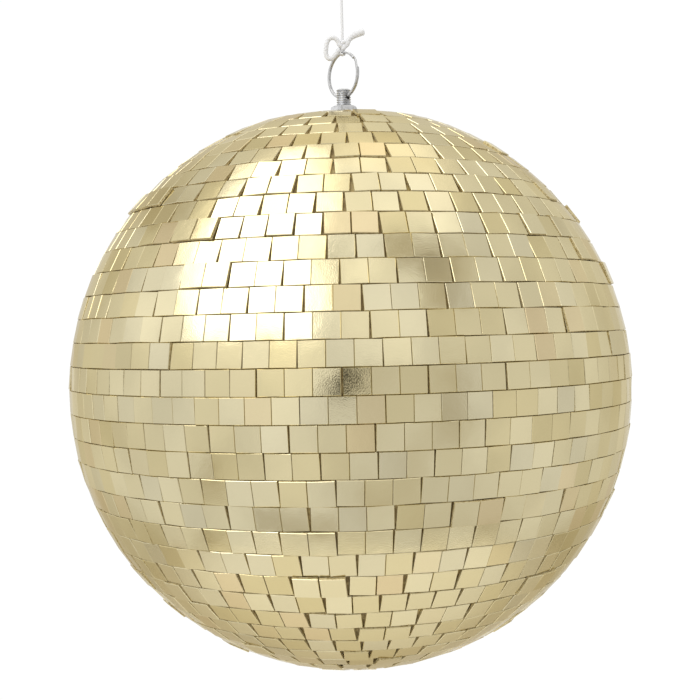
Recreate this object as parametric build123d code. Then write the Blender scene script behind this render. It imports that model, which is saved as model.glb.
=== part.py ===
"""Mirror ball hung on a string: a hollow core covered with rows of flat mirror tiles, a threaded stud
with a split ring through its cross hole, and a string tied to the ring.

Lengths are in millimetres. Shapes are built about the ball's centre, with +Z up, and are lowered
at the end so that the origin is the inside of the hanging loop's crown, where a hook carries the ball.
"""

from build123d import *
import os
from math import asin, atan2, cos, degrees, floor, pi, radians, sin, sqrt, tan
from random import Random

# Ball and tiles
BALL_RADIUS = 150.0  # to the middle of a tile's face
TILE_WIDTH = 11.75
TILE_THICKNESS = 1.5
GLUE = 0.1  # between the core and the back of a tile
ROW_PITCH = 4.66  # degrees of latitude from row to row, one tile and one gap
FIRST_EDGE = 1.43  # latitude of the row edge nearest to the equator
LOW_TILE_HEIGHT = 11.6  # rows within 40 degrees of the equator
HIGH_TILE_HEIGHT = 11.4  # rows nearer to the poles
HIGH_LATITUDE = 40.0
GROUP_GAP = 0.28  # least gap between two groups of tiles
GROUP_LIMITS = ((7.0, 4), (20.0, 3), (50.5, 2))  # up to this latitude, tiles laid as one straight group
TILT_SPREAD = 0.7  # degrees, standard deviation of how far a group leans
TILE_TILT_SPREAD = 0.22  # degrees, the same for one tile in its group
TILT_LIMIT = 1.1
LIFT_MEAN = 0.16  # how far a group stands proud on its glue
LIFT_LIMIT = 0.8
PROUD_SHARE = 0.05  # share of groups laid on a thick bed of glue
PROUD_LIFT = (0.7, 1.5)
SEED = 20

# The top of the ball is a little flattened round the hanger: a larger sphere cuts it there
CAP_RADIUS = 180.0
CAP_TOP = 148.6
CAP_ROWS = 3
CAP_ROW_SHIFT = 0.25  # degrees, room where the cap meets the ball
TOP_TILE_HEIGHT = 10.0  # the row round the nut is cut down to fit
LAST_FULL_ROW = -18  # rows are numbered from the equator, and this one is the lowest of full tiles
BOTTOM_RING_COUNT = 6
BOTTOM_RING_INNER = 10.3  # from the axis to the inner edge of the lowest ring of cut tiles
BOTTOM_RING_HEIGHT = 7.8

# Core
CORE_RADIUS = BALL_RADIUS - TILE_THICKNESS - GLUE
CORE_WALL = 2.6
HUB_RADIUS = 24.0  # flat moulded boss inside, round the stud
HUB_BOTTOM = 142.4
SPOTFACE_RADIUS = 10.6
SPOTFACE_Z = 146.1
BAND_WALL = 2.2  # band glued inside the joint of the two halves
BAND_HALF_HEIGHT = 9.0
BAND_GAP = 0.05

# Hanger: 8 mm stud, nuts and washers
STUD_RADIUS = 3.95
STUD_ROOT_RADIUS = 3.25
THREAD_PITCH = 1.25
STUD_TOP = 162.4
STUD_LENGTH = 32.5
STUD_HOLE_RADIUS = 4.2
NUT_FLATS = 13.0
NUT_HEIGHT = 5.6
NUT_BORE_RADIUS = 4.0
NUT_CORNER_ANGLE = -52.5
WASHER_RADIUS = 9.3
WASHER_THICKNESS = 1.4
PLATE_RADIUS = 20.0
PLATE_THICKNESS = 2.0
CROSS_HOLE_RADIUS = 1.5
CROSS_HOLE_Z = 158.0

# Split ring: two turns of flattened wire, 25.4 mm across, hanging in the XZ plane
RING_OUTER_RADIUS = 12.7
WIRE_DEPTH = 1.15
WIRE_WIDTH = 0.78
WIRE_EDGE = 0.16
TURN_SPACING = 0.84
RING_Z = 170.2
STEP_START = 12.0  # angle above +X where the wire crosses from one turn to the other
STEP_SWEEP = 28.0
STEP_SECTIONS = 7

# String
TAUT_DIAMETER = 1.6
SLACK_DIAMETER = 2.4
HITCH_CLEARANCE = 1.12  # from the middle of the ring's wire to the string round it
HITCH_THICKNESS = 0.95
HITCH_WIDTH = 2.4
KNOT_RADIUS = 2.7
KNOT_BOTTOM = 184.0
KNOT_TOP = 188.6
LOOP_KNOT_BOTTOM = 219.4
LOOP_KNOT_TOP = 225.4
LOOP_KNOT_RADIUS = 2.5
LOOP_CROWN = 250.0  # middle of the string at the top of the hanging loop
HANG_HEIGHT = LOOP_CROWN - TAUT_DIAMETER / 2

# Directions used by the bow and the tail, which lie in one upright plane
BOW_PLANE_ANGLE = 50.0

# Route of the slack bow, as (across, up) from the axis and the ball's centre, and how far it leans out
BOW_ROUTE = (
    (-1.3, 185.6),
    (-2.4, 188.8),
    (-4.2, 190.6),
    (-6.6, 190.6),
    (-8.4, 188.8),
    (-9.3, 183.6),
    (-8.9, 180.7),
    (-7.4, 179.2),
    (-5.5, 179.5),
    (-3.2, 182.2),
    (-1.5, 184.8),
)
BOW_LEAN = (0.3, 0.8, 1.0, 0.9, 0.6, 0.2, 0.0, 0.1, 0.3, 0.5, 0.4)
TAIL_ROUTE = ((1.4, 185.6), (2.9, 187.2), (3.3, 189.3), (5.0, 190.9), (8.4, 192.6), (12.2, 193.6))
TAIL_LEAN = (0.3, 0.6, 0.5, 0.3, 0.7, 0.9)
LOOP_HALF_ROUTE = ((1.0, 225.4), (2.3, 230.6), (5.2, 238.2), (6.0, 246.5), (2.5, 250.0))


def lowered(shape):
    """The shape moved from the ball's frame to the frame of the hanging loop."""
    return Pos(0, 0, -HANG_HEIGHT) * shape


def write(name, *solids):
    """Writes one node, as one solid or as a group of separate solids."""
    moved = [lowered(solid) for solid in solids]
    shape = moved[0] if len(moved) == 1 else Compound(children=moved)
    shape.label = name
    export_step(shape, f"parts/{name}.step")
    print(f"{name}: {len(moved)} solid(s)")


# ---------------------------------------------------------------- tiles


def tile_height(latitude):
    """Height of a tile: a little less towards the poles, where straight groups need more room."""
    return LOW_TILE_HEIGHT if abs(latitude) < HIGH_LATITUDE else HIGH_TILE_HEIGHT


def largest_group(latitude):
    """How many tiles can lie in one straight group and stay clear of the next row."""
    for limit, count in GROUP_LIMITS:
        if abs(latitude) <= limit:
            return count
    return 1


def group_half_span(count, latitude, height, centre_z=0.0, radius=BALL_RADIUS):
    """Longitude in degrees from the middle of a group to its outermost corner, at the tiles' backs."""
    back = radius - TILE_THICKNESS
    turn = radians(ROW_PITCH) * (count - 1) / 2
    out = back * cos(turn) - TILE_WIDTH / 2 * sin(turn)
    side = back * sin(turn) + TILE_WIDTH / 2 * cos(turn)
    lean = radians(abs(latitude))
    return degrees(atan2(side, out * cos(lean) - height / 2 * sin(lean)))


def tile(longitude, latitude, along, height, lift, tilts, centre_z=0.0, radius=BALL_RADIUS):
    """One flat tile. along is its turn, in degrees, along the great circle through its group's middle."""
    spin = Rot(0, 0, longitude) * Rot(0, -latitude, 0) * Rot(0, 0, along)
    lean = Rot(0, tilts[0], 0) * Rot(0, 0, tilts[1])
    out = Pos(radius + lift - TILE_THICKNESS / 2, 0, 0)
    return Pos(0, 0, centre_z) * spin * out * lean * Box(TILE_THICKNESS, TILE_WIDTH, height)


def limited(value, limit):
    """The value, kept within plus and minus the limit."""
    return max(-limit, min(limit, value))


def group_sizes(latitude, height, pick):
    """Sizes of the groups that fill one row, and the longitude left over for the gaps."""
    most = largest_group(latitude)
    gap = degrees(GROUP_GAP / (BALL_RADIUS * cos(radians(latitude))))
    spans = {n: 2 * group_half_span(n, latitude, height) + gap for n in range(1, most + 1)}
    left = 360.0
    sizes = []
    while left >= spans[1]:
        wanted = pick.choice([most, most, max(1, most - 1)])
        size = max(n for n in spans if n <= wanted and spans[n] <= left)
        sizes.append(size)
        left -= spans[size]
    pick.shuffle(sizes)
    return sizes, spans, left


def tile_row(latitude, pick):
    """The tiles of one row: straight groups with wedge gaps between them."""
    height = tile_height(latitude)
    sizes, spans, left = group_sizes(latitude, height, pick)
    shares = [pick.uniform(0.6, 1.4) for _ in sizes]
    longitude = pick.uniform(0.0, 360.0)
    tiles = []
    for size, share in zip(sizes, shares):
        middle = longitude + spans[size] / 2
        longitude += spans[size] + left * share / sum(shares)
        lift = min(pick.expovariate(1 / LIFT_MEAN), LIFT_LIMIT)
        if pick.random() < PROUD_SHARE:
            lift = pick.uniform(*PROUD_LIFT)
        lean = (pick.gauss(0, TILT_SPREAD), pick.gauss(0, TILT_SPREAD))
        for place in range(size):
            along = (place - (size - 1) / 2) * ROW_PITCH
            tilts = [limited(angle + pick.gauss(0, TILE_TILT_SPREAD), TILT_LIMIT) for angle in lean]
            tiles.append(tile(middle, latitude, along, height, lift, tilts))
    return tiles


def single_row(latitude, height, centre_z, radius, pick):
    """A row of evenly spaced single tiles near a pole."""
    gap = degrees(GROUP_GAP / (radius * cos(radians(latitude))))
    half = group_half_span(1, latitude, height, centre_z, radius)
    count = floor(360.0 / (2 * half + gap))
    start = pick.uniform(0.0, 360.0)
    tiles = []
    for place in range(count):
        tilts = [limited(pick.gauss(0, TILE_TILT_SPREAD), TILT_LIMIT) for _ in range(2)]
        longitude = start + 360.0 * place / count
        tiles.append(tile(longitude, latitude, 0, height, 0.02, tilts, centre_z, radius))
    return tiles


def cap_latitude(step):
    """Latitude on the flattened cap's own sphere of the middle of its row number step, counted up."""
    cap_centre = CAP_TOP - CAP_RADIUS
    edge_z = (BALL_RADIUS**2 - CAP_RADIUS**2 + cap_centre**2) / (2 * cap_centre)
    edge = degrees(asin((edge_z - cap_centre) / CAP_RADIUS))
    pitch = ROW_PITCH * BALL_RADIUS / CAP_RADIUS
    return edge + CAP_ROW_SHIFT + pitch * (step + 0.5)


def bottom_ring(pick):
    """The cut tiles round the lowest tile."""
    middle = BOTTOM_RING_INNER + BOTTOM_RING_HEIGHT / 2
    lean = degrees(asin(middle / (BALL_RADIUS - TILE_THICKNESS)))
    start = pick.uniform(0.0, 360.0)
    step = 360.0 / BOTTOM_RING_COUNT
    tilts = (0.0, 0.0)
    return [
        tile(start + step * place, lean - 90, 0, BOTTOM_RING_HEIGHT, 0.02, tilts)
        for place in range(BOTTOM_RING_COUNT)
    ]


def build_tiles():
    """Every row from the hanger down to the bottom tile, each in a node of its own."""
    pick = Random(SEED)
    rows = []
    cap_centre = CAP_TOP - CAP_RADIUS
    for step in reversed(range(CAP_ROWS)):
        height = TOP_TILE_HEIGHT if step == CAP_ROWS - 1 else HIGH_TILE_HEIGHT
        rows.append(single_row(cap_latitude(step), height, cap_centre, CAP_RADIUS, pick))
    first_row = round((71.0 - FIRST_EDGE) / ROW_PITCH) - 1
    for number in range(first_row, LAST_FULL_ROW - 1, -1):
        latitude = FIRST_EDGE + ROW_PITCH * (number + 0.5)
        rows.append(tile_row(latitude, pick))
    rows.append(bottom_ring(pick))
    for number, tiles in enumerate(rows, start=1):
        write(f"tile_row_{number:02d}", *tiles)
    write("tile_bottom", tile(0, -90, 0, TILE_WIDTH, 0.02, (0.0, 0.0)))
    print("tiles in all:", sum(len(tiles) for tiles in rows) + 1)


# ---------------------------------------------------------------- core


def core_solid():
    """The whole hollow core: a sphere flattened at the top, with a boss and a flat for the hanger."""
    cap_centre = CAP_TOP - CAP_RADIUS
    cap_skin = CAP_RADIUS - TILE_THICKNESS - GLUE
    outside = Sphere(CORE_RADIUS) & (Pos(0, 0, cap_centre) * Sphere(cap_skin))
    hollow = Sphere(CORE_RADIUS - CORE_WALL)
    hollow &= Pos(0, 0, cap_centre) * Sphere(cap_skin - CORE_WALL)
    up = (Align.CENTER, Align.CENTER, Align.MIN)
    boss = Pos(0, 0, HUB_BOTTOM) * Cylinder(HUB_RADIUS, CORE_RADIUS, align=up)
    spotface = Pos(0, 0, SPOTFACE_Z) * Cylinder(SPOTFACE_RADIUS, 20, align=up)
    stud_hole = Pos(0, 0, HUB_BOTTOM - 1) * Cylinder(STUD_HOLE_RADIUS, 20, align=up)
    return outside - (hollow - boss) - spotface - stud_hole


def build_core():
    """The two halves of the core and the band that joins them inside."""
    core = core_solid()
    side = 2 * CORE_RADIUS + 10
    up = (Align.CENTER, Align.CENTER, Align.MIN)
    down = (Align.CENTER, Align.CENTER, Align.MAX)
    write("core_shell_upper", (core & Box(side, side, side, align=up)).solid())
    write("core_shell_lower", (core & Box(side, side, side, align=down)).solid())
    band_radius = CORE_RADIUS - CORE_WALL - BAND_GAP
    band = Sphere(band_radius) - Sphere(band_radius - BAND_WALL)
    band &= Box(side, side, 2 * BAND_HALF_HEIGHT)
    write("core_joint_band", band.solid())


# ---------------------------------------------------------------- hanger


def stud():
    """Threaded stud, its thread as ridges one pitch apart, with chamfered ends and a cross hole."""
    bottom = STUD_TOP - STUD_LENGTH
    ridges = floor(STUD_LENGTH / THREAD_PITCH)
    outline = [(0, bottom), (STUD_ROOT_RADIUS, bottom)]
    for ridge in range(ridges):
        foot = bottom + THREAD_PITCH * ridge
        outline.append((STUD_RADIUS, foot + THREAD_PITCH * 0.45))
        outline.append((STUD_RADIUS, foot + THREAD_PITCH * 0.58))
        outline.append((STUD_ROOT_RADIUS, foot + THREAD_PITCH))
    outline.append((0, bottom + THREAD_PITCH * ridges))
    profile = Plane.XZ * make_face(Polyline(*outline, close=True))
    body = revolve(profile, Axis.Z)
    return body - Pos(0, 0, CROSS_HOLE_Z) * Rot(0, 90, 0) * Cylinder(CROSS_HOLE_RADIUS, 20)


def hex_nut(bottom, corner_angle):
    """Hexagon nut with both faces chamfered, and a bore that clears the stud's ridges."""
    corner = NUT_FLATS / sqrt(3)
    blank = Rot(0, 0, corner_angle) * extrude(RegularPolygon(corner, 6), NUT_HEIGHT)
    drop = (corner - NUT_FLATS / 2) * tan(radians(30)) * 1.15
    land = NUT_FLATS / 2 * 0.97
    cone = [
        (0, 0),
        (land, 0),
        (corner + 0.3, drop + 0.25),
        (corner + 0.3, NUT_HEIGHT - drop - 0.25),
        (land, NUT_HEIGHT),
        (0, NUT_HEIGHT),
    ]
    turned = revolve(Plane.XZ * make_face(Polyline(*cone, close=True)), Axis.Z)
    nut = (blank & turned) - Pos(0, 0, NUT_HEIGHT / 2) * Cylinder(NUT_BORE_RADIUS, NUT_HEIGHT * 2)
    return Pos(0, 0, bottom) * nut.solid()


def disc(radius, thickness, bottom):
    """Flat round plate with a clearance hole for the stud."""
    up = (Align.CENTER, Align.CENTER, Align.MIN)
    plate = Cylinder(radius, thickness, align=up) - Cylinder(STUD_HOLE_RADIUS, thickness, align=up)
    return Pos(0, 0, bottom) * plate


def wire_section(angle, across):
    """Rounded section of the ring's wire at an angle above +X, in the plane that holds the ring's axis."""
    middle = RING_OUTER_RADIUS - WIRE_DEPTH / 2
    section = Pos(middle, across, 0) * RectangleRounded(WIRE_DEPTH, WIRE_WIDTH, WIRE_EDGE)
    return Rot(0, -angle, 0) * section


def split_ring():
    """Two flat turns side by side, with one stepped stretch where the wire crosses between them."""
    half = TURN_SPACING / 2
    finish = STEP_START + STEP_SWEEP
    sweep = 360.0 - STEP_SWEEP
    first = revolve(wire_section(finish, -half), Axis.Y, -sweep)
    second = revolve(wire_section(finish, half), Axis.Y, -sweep)
    sections = []
    for step in range(STEP_SECTIONS):
        share = step / (STEP_SECTIONS - 1)
        across = half * cos(pi * share)
        sections.append(wire_section(STEP_START + STEP_SWEEP * share, -across))
    crossing = loft(sections)
    ring = first + crossing + second
    return Pos(0, 0, RING_Z) * ring.solid()


def build_hanger():
    """The stud, its nuts and washers, and the split ring."""
    washer_top = SPOTFACE_Z + WASHER_THICKNESS
    plate_bottom = HUB_BOTTOM - PLATE_THICKNESS
    write("hanger_stud", stud().solid())
    write("hanger_washer", disc(WASHER_RADIUS, WASHER_THICKNESS, SPOTFACE_Z))
    write("hanger_nut", hex_nut(washer_top, NUT_CORNER_ANGLE))
    write("inner_plate", disc(PLATE_RADIUS, PLATE_THICKNESS, plate_bottom))
    write("inner_nut", hex_nut(plate_bottom - NUT_HEIGHT, 0))
    write("split_ring", split_ring())
    print("nut top", washer_top + NUT_HEIGHT, "stud bottom", STUD_TOP - STUD_LENGTH)


# ---------------------------------------------------------------- string


def corner_radii(points):
    """Radius at each corner of a route: 0.45 of the shorter run over the tangent of half the turn."""
    radii = []
    for before, here, after in zip(points, points[1:], points[2:]):
        arriving = Vector(*here) - Vector(*before)
        leaving = Vector(*after) - Vector(*here)
        half_turn = radians(arriving.get_angle(leaving)) / 2
        radii.append(0.45 * min(arriving.length, leaving.length) / tan(half_turn))
    return radii


def string_tube(name, points, diameter):
    """A round string along straight runs joined by tangent arcs."""
    radii = corner_radii(points)
    path = FilletPolyline(*points, radius=radii)
    start = Plane(origin=path @ 0, z_dir=path % 0)
    tube = sweep(start * Circle(diameter / 2), path)
    share = tube.volume / (pi * diameter**2 / 4 * path.length)
    print(f"{name}: length {path.length:.1f}, radii {[round(r, 1) for r in radii]}, volume share {share:.4f}")
    return tube.solid()


def in_bow_plane(route, lean):
    """Route points from (across, up) and how far each one leans out of the bow's plane."""
    angle = radians(BOW_PLANE_ANGLE)
    return [
        (across * cos(angle) + out * sin(angle), across * sin(angle) - out * cos(angle), up)
        for (across, up), out in zip(route, lean)
    ]


def barrel(radius, neck, bottom, top):
    """A round lump with flat ends, such as a drawn knot."""
    middle = (bottom + top) / 2
    half = (top - bottom) / 2
    outline = make_face(
        [
            Line((0, middle - half), (neck, middle - half)),
            ThreePointArc((neck, middle - half), (radius, middle), (neck, middle + half)),
            Line((neck, middle + half), (0, middle + half)),
            Line((0, middle + half), (0, middle - half)),
        ]
    )
    return revolve(Plane.XZ * outline, Axis.Z)


def hitch():
    """The string's turn round the ring and the knot drawn tight above it, as one solid."""
    wire_z = RING_Z + RING_OUTER_RADIUS - WIRE_DEPTH / 2
    band = Pos(HITCH_CLEARANCE + HITCH_THICKNESS / 2, 0) * RectangleRounded(
        HITCH_THICKNESS, HITCH_WIDTH, HITCH_THICKNESS * 0.45
    )
    wrap = revolve(band, Axis.Y)
    wrap = Pos(0, 0, wire_z) * Rot(0, 0, 90) * wrap
    knot = barrel(KNOT_RADIUS, TAUT_DIAMETER / 2 + 0.2, KNOT_BOTTOM, KNOT_TOP)
    return (wrap + knot).solid()


def build_string():
    """The hanging loop and its knot, the taut string, the hitch on the ring, the bow and the tail."""
    up = (Align.CENTER, Align.CENTER, Align.MIN)
    taut = Cylinder(TAUT_DIAMETER / 2, LOOP_KNOT_BOTTOM - KNOT_TOP, align=up)
    write("string_taut", Pos(0, 0, KNOT_TOP) * taut)
    half = [(across, 0, up_to) for across, up_to in LOOP_HALF_ROUTE]
    other_half = [(-across, 0, up_to) for across, up_to in reversed(LOOP_HALF_ROUTE)]
    write("string_loop", string_tube("string_loop", half + other_half, TAUT_DIAMETER))
    write("loop_knot", barrel(LOOP_KNOT_RADIUS, 1.9, LOOP_KNOT_BOTTOM, LOOP_KNOT_TOP))
    write("string_hitch", hitch())
    write("string_bow", string_tube("string_bow", in_bow_plane(BOW_ROUTE, BOW_LEAN), SLACK_DIAMETER))
    write("string_tail", string_tube("string_tail", in_bow_plane(TAIL_ROUTE, TAIL_LEAN), SLACK_DIAMETER))


os.makedirs("parts", exist_ok=True)
build_core()
build_hanger()
build_string()
build_tiles()
print("origin above the ball's centre:", HANG_HEIGHT)
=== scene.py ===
"""Looks of the mirror ball: gold mirror tiles on a core, a zinc hanger, a split ring and a string.

Lengths are in metres unless a name or comment says otherwise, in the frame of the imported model: the origin
is inside the hanging loop's crown and +Z points up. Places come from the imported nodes, so each piece lies
where its CAD solid is.
"""

import logging
import math
from dataclasses import dataclass, field
from enum import Enum
from typing import Any, Optional, Sequence

import bpy
import numpy as np
from mathutils import Matrix, Vector


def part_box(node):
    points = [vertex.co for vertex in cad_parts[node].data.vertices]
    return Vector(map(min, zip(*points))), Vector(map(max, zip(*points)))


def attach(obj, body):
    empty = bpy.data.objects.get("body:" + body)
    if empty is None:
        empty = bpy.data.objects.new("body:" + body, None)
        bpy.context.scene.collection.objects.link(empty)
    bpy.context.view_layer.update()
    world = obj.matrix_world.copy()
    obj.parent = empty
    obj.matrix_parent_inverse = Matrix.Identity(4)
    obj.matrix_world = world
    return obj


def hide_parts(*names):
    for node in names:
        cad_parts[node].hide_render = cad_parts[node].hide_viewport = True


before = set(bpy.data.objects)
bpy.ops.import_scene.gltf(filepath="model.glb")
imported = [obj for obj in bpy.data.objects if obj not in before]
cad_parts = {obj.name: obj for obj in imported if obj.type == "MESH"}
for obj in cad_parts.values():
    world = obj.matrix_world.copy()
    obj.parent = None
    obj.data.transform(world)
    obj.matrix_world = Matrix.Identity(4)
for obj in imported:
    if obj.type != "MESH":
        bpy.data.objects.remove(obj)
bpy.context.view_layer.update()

logging.basicConfig(level=logging.INFO, format="%(message)s")
LOG = logging.getLogger("mirror_ball")

MM = 0.001
Array = np.ndarray
Colour = tuple[float, float, float]
Route = Sequence[tuple[float, float, float]]


class Body(str, Enum):
    """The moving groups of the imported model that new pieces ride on."""

    STRING = "string"
    HITCH = "hitch"
    BALL = "ball"


class Slot(str, Enum):
    """The record's material slots that new pieces take."""

    TILE = "mirror_tile"
    STRING = "cotton_string"


# ---------------- shader maths


class Num:
    """A number socket that takes part in Python arithmetic: each operator adds one Math node."""

    def __init__(self, tree: bpy.types.NodeTree, socket: bpy.types.NodeSocket) -> None:
        """Keeps the socket and the tree it belongs to."""
        self.tree = tree
        self.socket = socket

    def math(self, operation: str, other: Any = None, swapped: bool = False) -> "Num":
        """Adds a Math node.

        Args:
            operation: the node's operation.
            other: a number or another Num, or None for an operation on one value.
            swapped: puts other first.

        Returns:
            The node's result.
        """
        node = self.tree.nodes.new("ShaderNodeMath")
        node.operation = operation
        mine, its = (1, 0) if swapped else (0, 1)
        self.tree.links.new(self.socket, node.inputs[mine])
        if isinstance(other, Num):
            self.tree.links.new(other.socket, node.inputs[its])
        elif other is not None:
            node.inputs[its].default_value = other
        return Num(self.tree, node.outputs[0])

    def __add__(self, other: Any) -> "Num":
        """self + other."""
        return self.math("ADD", other)

    def __sub__(self, other: Any) -> "Num":
        """self - other."""
        return self.math("SUBTRACT", other)

    def __rsub__(self, other: Any) -> "Num":
        """other - self."""
        return self.math("SUBTRACT", other, swapped=True)

    def __mul__(self, other: Any) -> "Num":
        """self * other."""
        return self.math("MULTIPLY", other)

    __radd__ = __add__
    __rmul__ = __mul__


class Shader:
    """A node tree for a material or for the world, with one way to add any node."""

    def __init__(self, owner: Any) -> None:
        """Empties the owner's node tree and keeps it."""
        owner.use_nodes = True
        self.owner = owner
        self.tree = owner.node_tree
        self.tree.nodes.clear()

    def node(self, kind: str, settings: Optional[dict] = None, **inputs: Any) -> bpy.types.Node:
        """Adds a node, applies its settings and then its sockets' values and links.

        Args:
            kind: the node's type, without its ShaderNode prefix.
            settings: properties to set first.
            **inputs: socket names, with _ for a space, to a value, a Num or an output socket.

        Returns:
            The new node.
        """
        made = self.tree.nodes.new("ShaderNode" + kind)
        for name, value in (settings or {}).items():
            setattr(made, name, value)
        for name, value in inputs.items():
            self.feed(made.inputs[name.replace("_", " ")], value)
        return made

    def feed(self, socket: bpy.types.NodeSocket, value: Any) -> None:
        """Links a socket to a Num or an output socket, or sets its value."""
        if isinstance(value, Num):
            self.tree.links.new(value.socket, socket)
        elif isinstance(value, bpy.types.NodeSocket):
            self.tree.links.new(value, socket)
        elif isinstance(value, tuple) and len(value) == 3 and socket.type == "RGBA":
            socket.default_value = (*value, 1.0)
        else:
            socket.default_value = value

    def dot(self, vector: bpy.types.NodeSocket, aim: Vector) -> Num:
        """Dot product of a vector socket and a fixed direction."""
        made = self.node("VectorMath", {"operation": "DOT_PRODUCT"})
        self.feed(made.inputs[0], vector)
        made.inputs[1].default_value = aim
        return self.number(made.outputs["Value"])

    def number(self, socket: bpy.types.NodeSocket) -> Num:
        """The socket as a number for arithmetic."""
        return Num(self.tree, socket)

    def coordinates(self) -> bpy.types.NodeSocket:
        """The piece's own coordinates, in metres."""
        return self.node("TexCoord").outputs["Object"]

    def attribute(self, name: str) -> Num:
        """A number stored on the mesh under that name."""
        return self.number(self.node("Attribute", {"attribute_name": name}).outputs["Fac"])

    def noise(self, scale: float, detail: float = 2.0, roughness: float = 0.5, where: Any = None) -> Num:
        """Soft noise between 0 and 1.

        Args:
            scale: blobs to the metre.
            detail: octaves of finer noise.
            roughness: strength of the finer octaves.
            where: coordinates, or None for the piece's own.

        Returns:
            The noise value.
        """
        made = self.node(
            "TexNoise", Vector=where or self.coordinates(), Scale=scale, Detail=detail, Roughness=roughness
        )
        return self.number(made.outputs[0])

    def step(self, value: Num, low: float, high: float, to_low: float = 0.0, to_high: float = 1.0) -> Num:
        """A smooth step from to_low to to_high as the value goes from low to high."""
        made = self.node(
            "MapRange",
            {"interpolation_type": "SMOOTHSTEP"},
            Value=value,
            From_Min=low,
            From_Max=high,
            To_Min=to_low,
            To_Max=to_high,
        )
        return self.number(made.outputs[0])

    def mix(self, share: Any, first: Any, second: Any) -> bpy.types.NodeSocket:
        """Colour that goes from first to second as share goes from 0 to 1."""
        made = self.node("Mix", {"data_type": "RGBA"})
        for place, value in zip((0, 6, 7), (share, first, second)):
            self.feed(made.inputs[place], value)
        return made.outputs[2]

    def bump(self, height: Num, strength: float, distance: float) -> bpy.types.NodeSocket:
        """Normals bent by a height in the given distance, in metres."""
        return self.node("Bump", Height=height, Strength=strength, Distance=distance).outputs[0]

    def surface(self, shader: bpy.types.Node) -> None:
        """Makes that node the surface of the material or the world."""
        kind = "OutputWorld" if isinstance(self.owner, bpy.types.World) else "OutputMaterial"
        self.node(kind, Surface=shader.outputs[0])

    def principled(self, **inputs: Any) -> bpy.types.Material:
        """Makes a principled shader with those inputs the surface, and returns the finished material."""
        self.surface(self.node("BsdfPrincipled", **inputs))
        return self.owner


# ---------------- finishes


@dataclass(frozen=True)
class MirrorFinish:
    """Gold-tinted mirror: each tile is a little paler, deeper, rosier or greyer, and ripples slightly."""

    tint: Colour = (0.665, 0.595, 0.385)
    deep_tint: Colour = (0.570, 0.485, 0.265)
    rosy_tint: Colour = (0.615, 0.505, 0.300)
    grey_tint: Colour = (0.605, 0.548, 0.372)
    edge_tint: Colour = (0.88, 0.82, 0.66)
    roughness: float = 0.105
    ripple_scale: float = 1900.0
    ripple_depth: float = 0.000030
    wave_scale: float = 150.0
    wave_depth: float = 0.00005
    smear_scale: float = 45.0
    smear_roughness: float = 0.035

    def build(self) -> bpy.types.Material:
        """Makes the material: the tint follows each tile's tone and hue, and two noises bend its normals."""
        shader = Shader(bpy.data.materials.new("gold_mirror"))
        tone = shader.attribute("tone")
        hue = shader.attribute("hue")
        colour = shader.mix(tone, self.tint, self.deep_tint)
        colour = shader.mix(shader.step(hue, 0.0, 0.35, 1.0, 0.0), colour, self.grey_tint)
        colour = shader.mix(shader.step(hue, 0.86, 1.0), colour, self.rosy_tint)
        ripple = shader.noise(self.ripple_scale, 1.0, 0.5)
        wave = shader.noise(self.wave_scale, 1.0)
        height = ripple * self.ripple_depth + wave * self.wave_depth
        normal = shader.bump(height, 1.0, 1.0)
        smear = shader.noise(self.smear_scale, 3.0)
        gloss = shader.step(smear, 0.35, 0.75, self.roughness, self.roughness + self.smear_roughness)
        return shader.principled(
            Base_Color=colour, Metallic=1.0, Roughness=gloss, Normal=normal, Specular_Tint=self.edge_tint
        )


@dataclass(frozen=True)
class CutEdgeFinish:
    """The cut edge of a tile: pale gold glass, a little rough where it was scored and snapped."""

    pale: Colour = (0.66, 0.57, 0.33)
    dull: Colour = (0.36, 0.27, 0.11)

    def build(self) -> bpy.types.Material:
        """Makes the material: streaks of pale and dull along the cut."""
        shader = Shader(bpy.data.materials.new("cut_tile_edge"))
        streak = shader.noise(900.0, 3.0, 0.65)
        colour = shader.mix(shader.step(streak, 0.35, 0.65), self.pale, self.dull)
        rough = shader.step(streak, 0.3, 0.7, 0.22, 0.42)
        normal = shader.bump(shader.noise(2600.0, 2.0) * 0.00002, 1.0, 1.0)
        return shader.principled(Base_Color=colour, Metallic=0.2, Roughness=rough, Normal=normal)


@dataclass(frozen=True)
class CoreFinish:
    """The core between the tiles: brown-gold plastic with dried glue on it."""

    base: Colour = (0.26, 0.18, 0.06)
    glue: Colour = (0.50, 0.38, 0.14)

    def build(self) -> bpy.types.Material:
        """Makes the material: glue in soft patches over the base colour."""
        shader = Shader(bpy.data.materials.new("glued_core"))
        patch = shader.noise(210.0, 4.0, 0.6)
        share = shader.step(patch, 0.42, 0.62)
        colour = shader.mix(share, self.base, self.glue)
        height = patch * 0.0003 + shader.noise(1400.0, 2.0) * 0.00006
        rough = shader.step(share, 0.0, 1.0, 0.62, 0.38)
        return shader.principled(
            Base_Color=colour, Roughness=rough, Normal=shader.bump(height, 0.8, 1.0)
        )


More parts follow.
